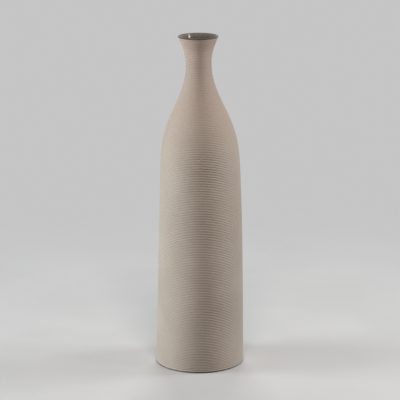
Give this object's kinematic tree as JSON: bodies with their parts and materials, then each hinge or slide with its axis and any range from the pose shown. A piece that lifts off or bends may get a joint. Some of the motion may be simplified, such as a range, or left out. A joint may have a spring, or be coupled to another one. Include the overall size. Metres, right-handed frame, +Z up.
{
  "type": "bottle vase",
  "caption": "Tall stoneware bottle vase with a tapering wall, soft shoulder, waisted neck and flared lip, glazed inside, standing on felt pads; holds water and a few stems.",
  "frame": {"origin": "at the middle of the foot, on the plane that the felt pads stand on", "axes": "+Z up, through the middle of the foot and of the mouth; +X the way the outside bows, by 1.9 mm at most; the pads lie on the diagonals"},
  "size_m": [0.1067, 0.1068, 0.4],
  "materials": {
    "stoneware": "matte, unglazed, finely ribbed",
    "glaze": "gloss",
    "felt": "pressed felt"
  },
  "bodies": {
    "root": {"stoneware_body": "stoneware", "interior_glaze": "glaze", "foot_pad_1": "felt", "foot_pad_2": "felt", "foot_pad_3": "felt", "foot_pad_4": "felt"}
  },
  "joints": []
}
